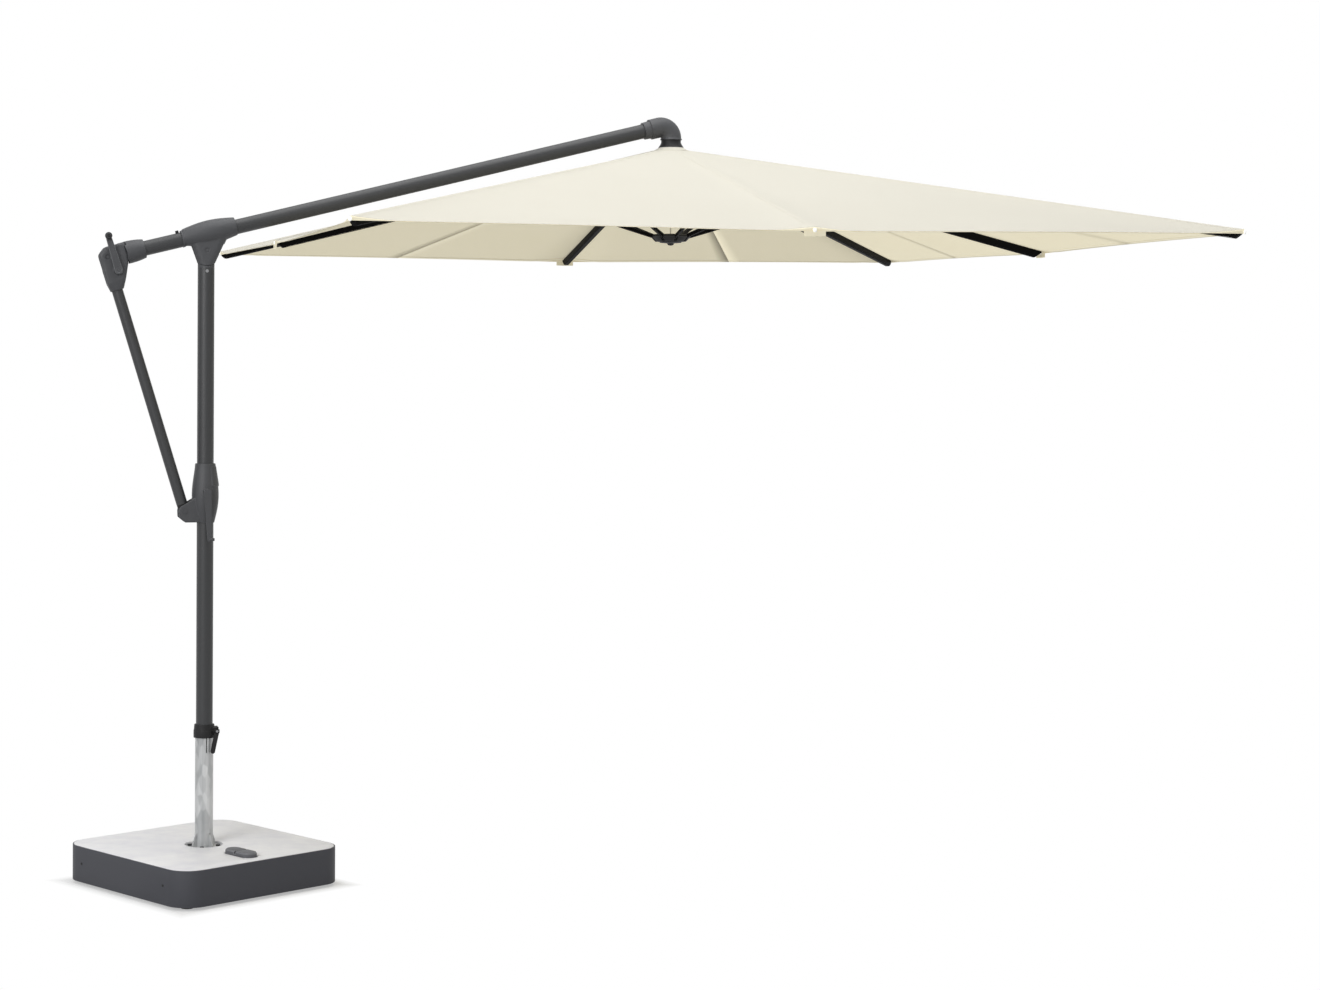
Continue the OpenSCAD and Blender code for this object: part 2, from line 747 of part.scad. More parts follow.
// cloth line over a rib, u from the collar (-1) over the shoulder (0) to the tip (1)
shoulder_r = 70;
shoulder_drop = 12;
shoulder_z = cloth_z - shoulder_drop;
flare_r = collar_r + 0.5;
droop_width = 0.12;
function line_r(i, u) =
    u < 0 ? flare_r + (shoulder_r - flare_r) * (1 + u) : shoulder_r + (tip_r(i) - shoulder_r) * u;
function line_z(i, u) =
    u < 0 ? cloth_z - shoulder_drop * (1 - u * u) : shoulder_z + (tip_z(i) - shoulder_z) * u;
function rib_point(i, u) = [line_r(i, u) * cos(45 * i), line_r(i, u) * sin(45 * i), line_z(i, u)];
// cloth between rib i (v = 0) and the next rib (v = 1)
function droop(v, u) = panel_droop * max(u, 0) * sin(90 * min(1, v / droop_width, (1 - v) / droop_width));
function cloth_point(i, v, u) =
    let (a = rib_point(i, u), b = rib_point(i + 1, u), m = a + (b - a) * v,
        pull = u > 0 ? 4 * edge_scallop * v * (1 - v) * u * u : 0, d = norm([m[0], m[1]]))
    [m[0] * (1 - pull / d), m[1] * (1 - pull / d), m[2] + pull * 0.2 - droop(v, u)];

module canopy() {
    rows = [-1, -0.5, 0, 0.15, 0.35, 0.6, 0.8, 1];
    columns = [0, droop_width / 2, droop_width, 0.5, 1 - droop_width, 1 - droop_width / 2];
    across = len(columns);
    n = 8 * across;
    inner_r = stem_r + 2;
    ring_in = [for (k = [0 : n - 1]) let (p = cloth_point(floor(k / across), columns[k % across], -1))
        [p[0] * inner_r / norm([p[0], p[1]]), p[1] * inner_r / norm([p[0], p[1]]), cloth_z]];
    top = concat(ring_in, [for (u = rows, k = [0 : n - 1])
        cloth_point(floor(k / across), columns[k % across], u)]);
    low = [for (p = top) p - [0, 0, cloth_t]];
    m = len(top);
    q = len(rows) + 1;
    color("ivory") on_crown() polyhedron(points = concat(top, low), faces = concat(
        [for (r = [0 : q - 2], k = [0 : n - 1], h = [0, 1]) let (a = r * n + k, b = r * n + (k + 1) % n)
            h == 0 ? [a, b, a + n] : [b, b + n, a + n]],
        [for (r = [0 : q - 2], k = [0 : n - 1], h = [0, 1])
            let (a = m + r * n + k, b = m + r * n + (k + 1) % n)
            h == 0 ? [a, a + n, b] : [b, a + n, b + n]],
        [for (k = [0 : n - 1], h = [0, 1]) let (a = k, b = (k + 1) % n)
            h == 0 ? [a, a + m, b] : [b, a + m, b + m]],
        [for (k = [0 : n - 1], h = [0, 1]) let (a = (q - 1) * n + k, b = (q - 1) * n + (k + 1) % n)
            h == 0 ? [a, b, a + m] : [b, b + m, a + m]]));
}

module rib(i) {
    len = rib_len(i);
    color("black") on_rib(i) difference() {
        union() {
            translate([rib_start, 0, 0]) bar_x(len - rib_start) cut_corner_rect(rib_w, rib_h, rib_edge);
            slab_y(tongue_t) {
                circle(r = tongue_r);
                translate([0, -tongue_r]) square([rib_start + 2, 2 * tongue_r]);
            }
            for (s = [-1, 1]) translate([stay_s(i), s * (ear_in + ear_t / 2), 0]) slab_y(ear_t) {
                translate([0, -stay_drop]) circle(r = 8);
                translate([-8, -stay_drop]) square([16, stay_drop - 3]);
            }
        }
        translate([rib_start + 6, 0, 0]) bar_x(len - rib_start - rib_cut - 14)
            square([rib_w - 2 * rib_wall, rib_h - 2 * rib_wall], center = true);
        pin_y(pivot_r + pin_gap, 40);
        translate([stay_s(i), 0, -stay_drop]) pin_y(pivot_r + pin_gap, 40);
        slab_y(2 * rib_w)
            polygon([[len - rib_cut, -rib_h / 2 - 1], [len + 1, -rib_h / 2 - 1], [len + 1, rib_h / 2 - 4]]);
    }
}

module stay(i) {
    b = stay_len(i);
    color("black") on_crown() rotate([0, 0, 45 * i])
        translate([stay_top(i)[0], 0, stay_top(i)[1]]) rotate([0, 180 - stay_slope(i), 0]) union() {
            bar_x(b) cut_corner_rect(stay_w, stay_h, 1.5);
            pin_y(eye_r, eye_w);
            pin_y(pivot_r, 2 * (ear_in + ear_t));
            translate([b, 0, 0]) pin_y(6.5, eye_w);
            translate([b, 0, 0]) pin_y(pivot_r, eye_w + 1.4);
        }
}

module runner() {
    slot = eye_w + 2;
    color("black") on_crown() translate([0, 0, runner_z]) difference() {
        rotate_extrude() polygon([[0, -14], [runner_r - 14, -14], [runner_r, 1], [runner_r, 7],
            [runner_r - 3, 10], [0, 10]]);
        for (i = [0 : 7]) rotate([0, 0, 45 * i])
            translate([hinge_r - 10, -slot / 2, -40]) cube([60, slot, 80]);
    }
}

module runner_cap() {
    color("dimgray") on_crown() translate([0, 0, runner_z - 14]) rotate_extrude() polygon([
        [0, 0], [hinge_r - 12, 0], [hinge_r - 14, -4], [12, -6], [9, -12], [0, -14]]);
}

module lift_cord() {
    color("white") on_crown() translate([0, 0, runner_z + 10])
        cylinder(r = 2, h = hinge_z - runner_z + 10, $fn = 16);
}

base_skirt();
base_tray();
base_feet();
ballast_slabs();
top_plate();
skirt_screws();
tube_pedestal();
base_tube();
flange_bolts();
clamp_collar();
clamp_bolt();
clamp_lever();
pedal_box();
pedal_pin();
pedal();
mast_tube();
mast_head();
mast_head_bolt();
slider_casing();
strut_pin();
lever_pin();
lock_lever();
tee_housing();
tilt_pin();
rear_housing();
strut_tube();
strut_head();
strut_foot();
rear_pin();
crank_shaft();
crank_arm();
crank_knob();
arm_tube();
roll_stop();
crown_elbow();
crown_hub();
rib_pins();
neck_collar();
runner();
runner_cap();
lift_cord();
canopy();
rib(0);  // rib_front
rib(1);  // rib_front_far
rib(2);  // rib_far
rib(3);  // rib_rear_far
rib(4);  // rib_rear
rib(5);  // rib_rear_near
rib(6);  // rib_near
rib(7);  // rib_front_near
stay(0);  // stay_front
stay(1);  // stay_front_far
stay(2);  // stay_far
stay(3);  // stay_rear_far
stay(4);  // stay_rear
stay(5);  // stay_rear_near
stay(6);  // stay_near
stay(7);  // stay_front_near
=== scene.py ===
import json
import math

import bmesh
import bpy
from mathutils import Matrix, Vector


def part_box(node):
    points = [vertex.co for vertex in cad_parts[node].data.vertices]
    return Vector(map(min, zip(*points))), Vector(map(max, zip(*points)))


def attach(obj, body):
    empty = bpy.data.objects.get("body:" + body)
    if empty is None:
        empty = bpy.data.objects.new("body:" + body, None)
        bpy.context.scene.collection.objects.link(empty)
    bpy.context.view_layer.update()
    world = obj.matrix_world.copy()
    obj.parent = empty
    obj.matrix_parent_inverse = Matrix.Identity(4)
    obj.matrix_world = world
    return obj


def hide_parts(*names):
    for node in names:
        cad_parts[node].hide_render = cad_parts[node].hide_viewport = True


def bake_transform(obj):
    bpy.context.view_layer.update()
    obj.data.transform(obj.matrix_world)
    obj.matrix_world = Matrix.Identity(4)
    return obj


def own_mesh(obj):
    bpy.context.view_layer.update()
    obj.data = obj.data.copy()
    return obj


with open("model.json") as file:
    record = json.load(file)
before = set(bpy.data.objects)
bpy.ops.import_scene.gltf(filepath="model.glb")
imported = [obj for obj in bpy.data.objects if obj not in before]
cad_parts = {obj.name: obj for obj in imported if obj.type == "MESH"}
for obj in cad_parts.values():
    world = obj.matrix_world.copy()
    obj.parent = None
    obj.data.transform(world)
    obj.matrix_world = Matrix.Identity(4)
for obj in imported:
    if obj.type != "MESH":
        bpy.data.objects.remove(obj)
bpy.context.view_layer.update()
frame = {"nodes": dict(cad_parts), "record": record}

nodes = frame["nodes"]
bodyOf = {node: body for body, held in frame["record"]["behaviour"]["bodies"].items() for node in held}
creaseAngle = {"eased": 34, "sewn": 32, "cord": 40}
mergeDistance = 3e-6
ribNames = ["front", "front_far", "far", "rear_far", "rear", "rear_near", "near", "front_near"]
print("frame loaded:", len(nodes), "nodes")


def ink(code):
    # an sRGB hex code as the linear colour that a socket takes
    channels = [int(code[k:k + 2], 16) / 255 for k in (0, 2, 4)]
    return [c / 12.92 if c <= 0.04045 else ((c + 0.055) / 1.055) ** 2.4 for c in channels] + [1.0]


class Wire:
    # one socket of a node tree, so that node maths reads as plain sums
    def __init__(self, bench, socket):
        self.bench = bench
        self.socket = socket

    def work(self, operation, first, second=0.0):
        return self.bench.place("ShaderNodeMath", {"operation": operation}, {0: first, 1: second})

    def __add__(self, other):
        return self.work("ADD", self, other)

    def __radd__(self, other):
        return self.work("ADD", other, self)

    def __sub__(self, other):
        return self.work("SUBTRACT", self, other)

    def __rsub__(self, other):
        return self.work("SUBTRACT", other, self)

    def __mul__(self, other):
        return self.work("MULTIPLY", self, other)

    def __rmul__(self, other):
        return self.work("MULTIPLY", other, self)

    def __truediv__(self, other):
        return self.work("DIVIDE", self, other)

    def __pow__(self, other):
        return self.work("POWER", self, other)

    def sine(self):
        return self.work("SINE", self)

    def size(self):
        return self.work("ABSOLUTE", self)

    def least(self, other):
        return self.work("MINIMUM", self, other)

    def most(self, other):
        return self.work("MAXIMUM", self, other)


class Bench:
    # a node tree being laid out
    def __init__(self, tree):
        self.tree = tree

    def place(self, kind, settings=None, sockets=None, out=0):
        made = self.tree.nodes.new(kind)
        for name, value in (settings or {}).items():
            if name == "stops":
                ramp = made.color_ramp
                while len(ramp.elements) < len(value):
                    ramp.elements.new(1.0)
                for stop, (position, colour) in zip(ramp.elements, value):
                    stop.position = position
                    stop.color = colour
            else:
                setattr(made, name, value)
        for name, value in (sockets or {}).items():
            if isinstance(value, Wire):
                self.tree.links.new(value.socket, made.inputs[name])
            else:
                made.inputs[name].default_value = value
        return Wire(self, made.outputs[out])


class Finish(Bench):
    # a material, with the shorthand that its recipes share
    def __init__(self, name, **constants):
        self.material = bpy.data.materials.new(name)
        self.material.use_nodes = True
        super().__init__(self.material.node_tree)
        self.skin = self.tree.nodes["Principled BSDF"]
        for socket, value in constants.items():
            self.skin.inputs[socket.replace("_", " ")].default_value = value

    def spot(self, stretch=(1, 1, 1), turn=0.0):
        place = self.place("ShaderNodeTexCoord", out="Object")
        return self.place("ShaderNodeMapping", sockets={
            "Vector": place, "Scale": stretch, "Rotation": (0, 0, turn)})

    def noise(self, spot, scale, detail=2.0, roughness=0.5):
        return self.place("ShaderNodeTexNoise", sockets={
            "Vector": spot, "Scale": scale, "Detail": detail, "Roughness": roughness})

    def mix(self, share, first, second):
        return self.place("ShaderNodeMix", {"data_type": "RGBA"}, {0: share, 6: first, 7: second}, out=2)

    def worn(self):
        return self.place("ShaderNodeAttribute", {"attribute_name": "worn"}, out="Fac")

    def bump(self, height, depth, strength=1.0):
        self.feed("Normal", self.place("ShaderNodeBump", sockets={
            "Height": height, "Distance": depth, "Strength": strength}, out="Normal"))

    def feed(self, socket, wire):
        self.tree.links.new(wire.socket, self.skin.inputs[socket])


# finishes

powder = {"cloud": 7.0, "cloudShare": 0.6, "grainShare": 0.4, "cloudRough": 0.06, "grainRough": 0.16, "bump": 0.5}


def powderCoat(name, recipe):
    # the recipe's clear strength makes the coat glow white, a painted glow; only the white caps use it
    coat = Finish(name, IOR=1.48, Specular_IOR_Level=recipe["shine"], Emission_Color=(1, 1, 1, 1),
                  Emission_Strength=recipe.get("clear", 0.0))
    spot = coat.spot()
    cloud = coat.noise(spot, powder["cloud"], 3.0)
    grain = coat.noise(spot, recipe["grain"], 2.0)
    tone = coat.mix(cloud * powder["cloudShare"] + grain * powder["grainShare"],
                    ink(recipe["deep"]), ink(recipe["light"]))
    # edges mix towards the lighter edge colour: rubbed paint and a painted edge highlight
    coat.feed("Base Color", coat.mix(coat.worn() * recipe["edgeWearAndHighlight"], tone, ink(recipe["edge"])))
    coat.feed("Roughness", recipe["rough"] + (grain - 0.5) * powder["grainRough"]
              + (cloud - 0.5) * powder["cloudRough"])
    coat.bump(grain, recipe["depth"], powder["bump"])
    return coat.material


zincMarks = {"flakeFlat": 0.45, "flakeBlur": 0.35, "streakFlat": 1.6, "bandFlat": 0.3, "flakeShare": 0.25,
             "streakShare": 0.3, "bandShare": 0.45, "contrast": 1.8, "metalVary": 0.2, "flakeRough": 0.16,
             "streakRough": 0.12, "flakeBump": 0.4, "streakBump": 0.6, "depth": 0.0004, "bump": 0.25}


def zincCoat(name, recipe):
    zinc = Finish(name, IOR=1.6)
    spangle = zinc.place("ShaderNodeTexVoronoi", {"feature": "SMOOTH_F1"}, {
        "Vector": zinc.spot((1, 1, zincMarks["flakeFlat"])), "Scale": recipe["spangle"],
        "Smoothness": zincMarks["flakeBlur"]}, out="Color")
    flake = zinc.place("ShaderNodeSeparateColor", sockets={0: spangle})
    streak = zinc.noise(zinc.spot((recipe["streak"], recipe["streak"], zincMarks["streakFlat"])), 1.0, 3.0)
    band = zinc.noise(zinc.spot((recipe["band"], recipe["band"], zincMarks["bandFlat"])), 1.0, 1.0)
    marks = flake * zincMarks["flakeShare"] + streak * zincMarks["streakShare"] + band * zincMarks["bandShare"]
    share = ((marks - 0.5) * zincMarks["contrast"] + 0.5).most(0.0).least(1.0)
    zinc.feed("Base Color", zinc.mix(share, ink(recipe["deep"]), ink(recipe["light"])))
    zinc.feed("Metallic", recipe["metal"] + streak * zincMarks["metalVary"])
    zinc.feed("Roughness", recipe["rough"] + (flake - 0.5) * zincMarks["flakeRough"]
              + (streak - 0.5) * zincMarks["streakRough"])
    zinc.bump(flake * zincMarks["flakeBump"] + streak * zincMarks["streakBump"],
              zincMarks["depth"], zincMarks["bump"])
    return zinc.material


turning = {"scratch": 260.0, "scratchFlat": 9, "cloud": 30.0, "metal": 0.9, "metalVary": 0.1,
           "scratchRough": 0.2, "depth": 0.0002, "bump": 0.2}


def turnedSteel(name, recipe):
    steel = Finish(name, IOR=1.6)
    scratch = steel.noise(steel.spot((1, 1, turning["scratchFlat"])), turning["scratch"], 2.0)
    cloud = steel.noise(steel.spot(), turning["cloud"], 2.0)
    steel.feed("Base Color", steel.mix(cloud, ink(recipe["deep"]), ink(recipe["light"])))
    steel.feed("Metallic", turning["metal"] + (cloud - 0.5) * turning["metalVary"])
    steel.feed("Roughness", recipe["rough"] + (scratch - 0.5) * turning["scratchRough"])
    steel.bump(scratch, turning["depth"], turning["bump"])
    return steel.material


slab = {"cloud": 5.5, "blotch": 19.0, "grit": 620.0, "cloudShare": 0.55, "blotchShare": 0.45, "speckFrom": 0.62,
        "speckTo": 0.74, "speckShare": 0.35, "blotchRough": 0.2, "depth": 0.0005, "bump": 0.3}


def stoneSlab(name, recipe):
    stone = Finish(name, IOR=1.5, Specular_IOR_Level=0.4)
    spot = stone.spot()
    cloud = stone.noise(spot, slab["cloud"], 5.0, 0.55)
    blotch = stone.noise(spot, slab["blotch"], 4.0, 0.6)
    grit = stone.noise(spot, slab["grit"], 2.0)
    marks = cloud * slab["cloudShare"] + blotch * slab["blotchShare"]
    veil = ((marks - 0.5) * recipe["contrast"] + 0.5).most(0.0).least(1.0)
    soft = stone.mix(veil, ink(recipe["deep"]), ink(recipe["light"]))
    speck = stone.place("ShaderNodeValToRGB", {"stops": [
        (slab["speckFrom"], (0, 0, 0, 1)), (slab["speckTo"], (1, 1, 1, 1))]}, {0: grit})
    speckled = stone.place("ShaderNodeSeparateColor", sockets={0: speck}) * slab["speckShare"]
    stone.feed("Base Color", stone.mix(speckled, soft, ink(recipe["speck"])))
    stone.feed("Roughness", recipe["rough"] + (blotch - 0.5) * slab["blotchRough"])
    stone.bump(grit * 0.5 + blotch * 0.5, slab["depth"], slab["bump"])
    return stone.material


weaving = {"slubAcross": 600, "slubAlong": 9, "cloud": 2.3, "weaveShare": 0.25, "slubShare": 0.22,
           "cloudShare": 0.31, "slubRough": 0.12, "weaveRough": 0.04, "weaveBump": 0.6, "slubBump": 0.2,
           "depth": 0.3, "bump": 0.35}


def wovenCloth(name, recipe):
    cloth = Finish(name, IOR=1.45, Specular_IOR_Level=0.2, Sheen_Weight=0.1, Sheen_Roughness=0.5,
                   Emission_Strength=recipe["through"])
    place = cloth.place("ShaderNodeUVMap", {"uv_map": "UVMap"})
    across = cloth.place("ShaderNodeSeparateXYZ", sockets={0: place}, out="X")
    along = cloth.place("ShaderNodeSeparateXYZ", sockets={0: place}, out="Y")
    turn = 2 * math.pi / recipe["thread"]
    weft = (across * turn).sine()
    warp = (along * turn).sine()
    weave = weft * warp * 0.5 + 0.5

    def slubs(wide, tall):
        return cloth.noise(cloth.place("ShaderNodeMapping", sockets={
            "Vector": place, "Scale": (wide, tall, 1)}), 1.0, 2.0)

    slub = slubs(weaving["slubAcross"], weaving["slubAlong"])
    slubWeft = slubs(weaving["slubAlong"], weaving["slubAcross"])
    cloud = cloth.noise(cloth.spot(), weaving["cloud"], 3.0, 0.5)
    share = weave * weaving["weaveShare"] + slub * weaving["slubShare"] + slubWeft * weaving["slubShare"] \
        + cloud * weaving["cloudShare"]
    tone = cloth.mix(share, ink(recipe["deep"]), ink(recipe["light"]))
    # painted glow: the glow attribute sets the emission, which stands in for daylight passing the cloth
    glow = cloth.place("ShaderNodeAttribute", {"attribute_name": "glow"}, out="Fac")
    cloth.feed("Base Color", tone)
    cloth.feed("Emission Color", cloth.mix(glow, (0, 0, 0, 1), tone))
    cloth.feed("Roughness", recipe["rough"] + (slub - 0.5) * weaving["slubRough"] - weave * weaving["weaveRough"])
    cloth.bump(weave * weaving["weaveBump"] + slub * weaving["slubBump"] + slubWeft * weaving["slubBump"],
               recipe["thread"] * weaving["depth"], weaving["bump"])
    return cloth.material


braiding = {"pitch": 1900.0, "lean": 900.0, "rough": 0.1, "depth": 0.0004, "bump": 0.6}


def braidedCord(name, recipe):
    cord = Finish(name, IOR=1.45, Specular_IOR_Level=0.3, Sheen_Weight=0.15)
    spot = cord.spot()
    height = cord.place("ShaderNodeSeparateXYZ", sockets={0: spot}, out="Z")
    side = cord.place("ShaderNodeSeparateXYZ", sockets={0: spot}, out="X")
    twist = (height * braiding["pitch"] + side * braiding["lean"]).sine()
    cross = (height * braiding["pitch"] - side * braiding["lean"]).sine()
    braid = twist.most(cross) * 0.5 + 0.5
    cord.feed("Base Color", cord.mix(braid, ink(recipe["deep"]), ink(recipe["light"])))
    cord.feed("Roughness", recipe["rough"] + (braid - 0.5) * braiding["rough"])
    cord.bump(braid, braiding["depth"], braiding["bump"])
    return cord.material


finishes = {
    "tubeCoat": powderCoat("tubeCoat", {"deep": "2e2f31", "light": "37383a", "edge": "77797d", "edgeWearAndHighlight": 0.25,
                                        "grain": 2100.0, "rough": 0.42, "depth": 0.00018, "shine": 0.5}),
    "castCoat": powderCoat("castCoat", {"deep": "3e3f42", "light": "494a4d", "edge": "85878a", "edgeWearAndHighlight": 0.4,
                                        "grain": 1150.0, "rough": 0.52, "depth": 0.0004, "shine": 0.5}),
    # the ribs' pale edge colour is a painted highlight along their eased black edges
    "ribCoat": powderCoat("ribCoat", {"deep": "0d0d0e", "light": "141416", "edge": "b4b5b7", "edgeWearAndHighlight": 0.7,
                                      "grain": 1700.0, "rough": 0.55, "depth": 0.00015, "shine": 0.04}),
    "mouldedBlack": powderCoat("mouldedBlack", {"deep": "161617", "light": "1f1f20", "edge": "58595b", "edgeWearAndHighlight": 0.5,
                                                "grain": 1350.0, "rough": 0.55, "depth": 0.0003, "shine": 0.3}),
    "baseCoat": powderCoat("baseCoat", {"deep": "414248", "light": "4a4b51", "edge": "8a8b90", "edgeWearAndHighlight": 0.4,
                                        "grain": 1250.0, "rough": 0.6, "depth": 0.0004, "shine": 0.4}),
    "pedalCoat": powderCoat("pedalCoat", {"deep": "56575b", "light": "626367", "edge": "909195", "edgeWearAndHighlight": 0.4,
                                          "grain": 1300.0, "rough": 0.55, "depth": 0.0004, "shine": 0.4}),
    # the caps glow white with their clear strength, a painted glow that keeps them white in shade
    "capWhite": powderCoat("capWhite", {"deep": "ecebe6", "light": "f7f6f2", "edge": "ffffff", "edgeWearAndHighlight": 0.2,
                                        "grain": 900.0, "rough": 0.3, "depth": 0.0001, "shine": 0.5, "clear": 0.4}),
    "footRubber": powderCoat("footRubber", {"deep": "161617", "light": "222223", "edge": "303031", "edgeWearAndHighlight": 0.2,
                                            "grain": 700.0, "rough": 0.8, "depth": 0.0005, "shine": 0.3}),
    "zinc": zincCoat("zinc", {"deep": "85888a", "light": "e6e7e7", "spangle": 55.0, "streak": 90.0, "band": 30.0,
                              "rough": 0.4, "metal": 0.25}),
    "brightSteel": turnedSteel("brightSteel", {"deep": "7d7e80", "light": "a3a4a6", "rough": 0.34}),
    "darkSteel": turnedSteel("darkSteel", {"deep": "2a2b2c", "light": "3b3c3d", "rough": 0.42}),
    "stonePlate": stoneSlab("stonePlate", {"deep": "e6e6ed", "light": "ffffff", "speck": "cfd0d6", "rough": 0.55,
                                            "contrast": 2.2}),
    "castConcrete": stoneSlab("castConcrete", {"deep": "8d8b87", "light": "aaa8a3", "speck": "6f6d6a",
                                                "rough": 0.85, "contrast": 1.0}),
    "clothTop": wovenCloth("clothTop", {"deep": "d3cfc1", "light": "dfdcd0", "thread": 0.0011, "rough": 0.82,
                                        "through": 0.0}),
    # the underside is warmer than the top, partly its coating and partly painted daylight coming through, and its
    # emission strength is a painted glow
    "clothUnder": wovenCloth("clothUnder", {"deep": "dcd4b8", "light": "e8e1c9", "thread": 0.0011, "rough": 0.86,
                                            "through": 1.0}),
    "hemThread": braidedCord("hemThread", {"deep": "dcd6c6", "light": "ebe6d9", "rough": 0.8}),
    "liftCord": braidedCord("liftCord", {"deep": "c9c8c4", "light": "f2f1ee", "rough": 0.7}),
}
print("finishes:", len(finishes))


# making and placing pieces

def newPiece(name, mesh, finish=None):
    piece = bpy.data.objects.new(name, mesh)
    bpy.context.scene.collection.objects.link(piece)
    if finish:
        mesh.materials.clear()
        mesh.materials.append(finishes[finish])
    return piece


def settle(piece, sharp=None):
    # bakes the modifiers into a plain mesh
    settled = bpy.data.meshes.new_from_object(piece.evaluated_get(bpy.context.evaluated_depsgraph_get()))
    piece.modifiers.clear()
    piece.data = settled
    settled.name = piece.name
    settled.shade_smooth()
    if sharp:
        settled.set_sharp_from_angle(angle=math.radians(sharp))
    return piece


def grow(name, tree, values, start=None):
    # runs one of the Geometry Nodes trees and keeps its result
    piece = newPiece(name, start or bpy.data.meshes.new(name))
    modifier = piece.modifiers.new(tree.name, "NODES")
    modifier.node_group = tree
    label = {item.name: item.identifier for item in tree.interface.items_tree if item.in_out == "INPUT"}
    for key, value in values.items():
        modifier[label[key]] = value
    return settle(piece, creaseAngle["sewn"])


def mergedCopy(node):
    shell = bmesh.new()
    shell.from_mesh(nodes[node].data)
    bmesh.ops.remove_doubles(shell, verts=shell.verts, dist=mergeDistance)
    return shell


def stand(piece, finish, *replaced, body=None):
    # sets a finished piece on its body, in place of CAD nodes
    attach(piece, body or bodyOf[replaced[0]])
    if replaced:
        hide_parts(*replaced)
    return piece


easing = {"flat": 0.8, "segments": 3, "cutDistance": 1e-6}


def rounded(node, finish, width, limit=28, trim=()):
    # a CAD piece with its edges eased, as an extrusion, pressing or moulding has them
    shell = mergedCopy(node)
    for place, outward in trim:
        cut = bmesh.ops.bisect_plane(shell, geom=shell.verts[:] + shell.edges[:] + shell.faces[:],
                                     dist=easing["cutDistance"], plane_co=place, plane_no=outward, clear_outer=True)
        bmesh.ops.holes_fill(shell, edges=[e for e in cut["geom_cut"] if isinstance(e, bmesh.types.BMEdge)])
    bmesh.ops.dissolve_limit(shell, angle_limit=math.radians(easing["flat"]),
                             verts=shell.verts, edges=shell.edges)
    # the eased faces are marked for the lighter edge colour, rubbed paint and a painted edge highlight
    worn = shell.faces.layers.float.new("worn")
    edges = [e for e in shell.edges if e.is_manifold and e.calc_face_angle(0) > math.radians(limit)]
    eased = bmesh.ops.bevel(shell, geom=edges, offset=width, offset_type="OFFSET",
                            segments=easing["segments"], profile=0.5, affect="EDGES",
                            clamp_overlap=True, loop_slide=True)
    for face in eased["faces"]:
        face[worn] = 1.0
    mesh = bpy.data.meshes.new(node + "_eased")
    shell.to_mesh(mesh)
    shell.free()
    mesh.shade_smooth()
    mesh.set_sharp_from_angle(angle=math.radians(creaseAngle["eased"]))
    return stand(newPiece(node + "_eased", mesh, finish), finish, node)


softenFactor = 0.5


def cast(node, finish, grain, passes, fill=None):
    # a CAD piece with the soft edges and fillets of a casting
    shell = mergedCopy(node)
    if fill:
        fill(shell)
    mesh = bpy.data.meshes.new(node + "_cast")
    shell.to_mesh(mesh)
    shell.free()
    piece = newPiece(node + "_cast", mesh, finish)
    skin = piece.modifiers.new("skin", "REMESH")
    skin.mode = "VOXEL"
    skin.voxel_size = grain
    soften = piece.modifiers.new("soften", "SMOOTH")
    soften.factor = softenFactor
    soften.iterations = passes
    return stand(settle(piece), finish, node)


def dress(finish, *names):
    for name in names:
        held = nodes[name].data.materials
        held.clear()
        held.append(finishes[finish])


# base

dress("baseCoat", "base_tray")
dress("castConcrete", "ballast_slabs")
dress("footRubber", "base_feet")
dress("zinc", "base_tube", "tube_pedestal")
dress("darkSteel", "flange_bolts", "skirt_screws")
dress("brightSteel", "pedal_pin", "clamp_bolt")
dress("mouldedBlack", "pedal_box")
baseEdges = {
    "base_skirt": ("baseCoat", 0.0012), "top_plate": ("stonePlate", 0.0016), "pedal": ("pedalCoat", 0.0014),
    "clamp_collar": ("mouldedBlack", 0.0012), "clamp_lever": ("mouldedBlack", 0.0012),
}
for node, (finish, width) in baseEdges.items():
    rounded(node, finish, width)
print("base dressed")

# mast, slider and tilting carrier

dress("tubeCoat", "mast_tube", "arm_tube", "strut_tube")
dress("brightSteel", "mast_head_bolt")
dress("castCoat", "strut_pin", "tilt_pin", "rear_pin", "crank_shaft")
dress("darkSteel", "lever_pin", "rib_pins")
dress("mouldedBlack", "strut_foot")

rearMouth = {"bore": 0.0624, "flat": 0.019, "round": 0.009, "radius": 0.0366, "back": 0.078,
             "around": 64, "rings": 12, "armLift": 0.053}


def middleOf(node):
    low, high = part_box(node)
    return (low + high) / 2


def fillRearMouth(shell):
    # hollow mouth of the rear housing, which the strut head turns in
    pivot, carrier = middleOf("rear_pin"), middleOf("tilt_pin")
    rise = math.atan2(carrier.z + rearMouth["armLift"] - pivot.z, carrier.x - pivot.x)
    along = Vector((math.cos(rise), 0, math.sin(rise)))
    upward = Vector((-math.sin(rise), 0, math.cos(rise)))

    def point(radius, turn, deep):
        height, aside = radius * math.cos(turn), radius * math.sin(turn)
        past = min(max(abs(aside) - rearMouth["flat"], 0.0), rearMouth["round"])
        bore = rearMouth["bore"] + math.sqrt(rearMouth["round"] ** 2 - past ** 2)
        far = rearMouth["back"] if deep else math.sqrt(bore ** 2 - height ** 2)
        return shell.verts.new(pivot + along * far + upward * height + Vector((0, aside, 0)))

    turns = [2 * math.pi * k / rearMouth["around"] for k in range(rearMouth["around"])]
    radii = [rearMouth["radius"] * (k + 1) / rearMouth["rings"] for k in range(rearMouth["rings"])]
    rings = [[point(radius, turn, False) for turn in turns] for radius in radii]
    rings += [[point(radius, turn, True) for turn in turns] for radius in reversed(radii)]
    for first, second in zip(rings, rings[1:]):
        for k in range(len(turns)):
            after = (k + 1) % len(turns)
            shell.faces.new((first[k], first[after], second[after], second[k]))
    shell.faces.new(list(reversed(rings[0])))
    shell.faces.new(rings[-1])


headDome = {"right": 0.006, "below": 0.045, "pinClear": 0.018, "passes": 60}


